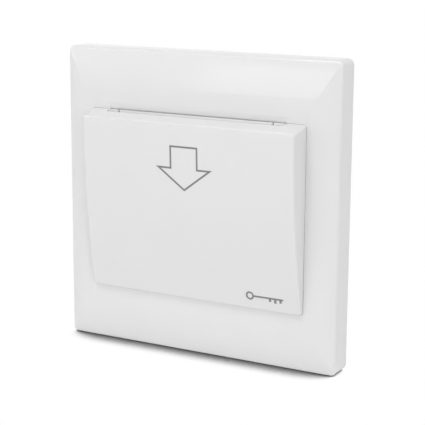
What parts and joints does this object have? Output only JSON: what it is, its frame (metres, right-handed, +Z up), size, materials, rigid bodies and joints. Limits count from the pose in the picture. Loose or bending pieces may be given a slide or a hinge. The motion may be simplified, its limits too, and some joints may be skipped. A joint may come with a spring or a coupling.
{
  "type": "hotel key card switch",
  "caption": "Square wall-mounted key card switch: white clip-on frame, wedge-shaped card cover with a slot on top, sprung card lever, microswitch, card reader, relay and wire terminals.",
  "frame": {"origin": "centre of the plate on the wall plane, midway between the two wall-screw slots", "axes": "+X to the right seen from the room, +Y into the wall, +Z up"},
  "size_m": [0.086, 0.0435, 0.086],
  "materials": {
    "front_plastic": "glossy white",
    "base_plastic": "fine matt",
    "tray_plastic": "satin",
    "lever_plastic": "satin",
    "black_plastic": "matt",
    "red_plastic": "satin",
    "terminal_plastic": "satin",
    "relay_plastic": "satin",
    "board": "solder mask",
    "black_resin": "moulded resin",
    "light_lens": "clear moulded",
    "capacitor_sleeve": "shrunk sleeve",
    "film_resin": "moulded case",
    "surge_resin": "dipped",
    "winding_tape": "film tape",
    "ferrite": "sintered",
    "copper": "lacquered",
    "gilt_brass": "plated",
    "tinned_metal": "tinned",
    "bright_steel": "ground",
    "zinc_steel": "zinc plated",
    "fuse_glass": "clear"
  },
  "bodies": {
    "base": {"mounting_base": "base_plastic", "card_tray": "tray_plastic", "tray_screws": "zinc_steel", "reader_board": "board", "antenna_coil": "copper", "reader_chip": "black_resin", "indicator_lights": "light_lens", "link_strip": "black_plastic", "link_pins": "gilt_brass", "lever_pin": "bright_steel", "lever_spring": "bright_steel", "switch_body": "black_plastic", "switch_terminals": "tinned_metal", "rear_housing": "base_plastic", "housing_screws": "zinc_steel", "power_board": "board", "board_screws": "zinc_steel", "relay_base": "black_plastic", "relay_cover": "relay_plastic", "relay_coil": "copper", "relay_yoke": "bright_steel", "relay_contact": "gilt_brass", "transformer_core": "ferrite", "transformer_winding": "winding_tape", "smoothing_capacitor": "capacitor_sleeve", "film_capacitor": "film_resin", "surge_disc": "surge_resin", "fuse_tube": "fuse_glass", "fuse_caps": "tinned_metal", "rectifier": "black_resin", "terminal_block": "terminal_plastic", "clamp_cages": "gilt_brass", "clamp_screws": "zinc_steel"},
    "frame": {"front_frame": "front_plastic"},
    "cover": {"card_cover": "front_plastic", "card_guide": "front_plastic"},
    "lever": {"card_lever": "lever_plastic"},
    "plunger": {"switch_plunger": "red_plastic"},
    "armature": {"relay_armature": "bright_steel"}
  },
  "joints": [
    {"name": "frame_release", "type": "slide", "parent": "base", "child": "frame", "axis": [0, -1, 0], "range_m": [0, 0.018]},
    {"name": "cover_release", "type": "slide", "parent": "base", "child": "cover", "axis": [0, -1, 0], "range_m": [0, 0.016]},
    {"name": "card_lever_swing", "type": "hinge", "parent": "base", "child": "lever", "pos_m": [0, -0.0044, -0.0175], "axis": [-1, 0, 0], "range_deg": [0, 15], "stiffness_Nm_per_rad": 0.02, "springref_deg": -17.19, "deforming": ["lever_spring"]},
    {"name": "switch_plunger_press", "type": "slide", "parent": "base", "child": "plunger", "axis": [0, 1, 0], "range_m": [0, 0.0018]},
    {"name": "relay_armature_swing", "type": "hinge", "parent": "base", "child": "armature", "pos_m": [0.0035, 0.0235, -0.0022], "axis": [0, 0, -1], "range_deg": [0, 4], "stiffness_Nm_per_rad": 0.01, "springref_deg": -11.46}
  ],
  "couplings": [
    {"joint": "switch_plunger_press", "follows": "card_lever_swing", "m_per_rad": 0.0062}
  ]
}
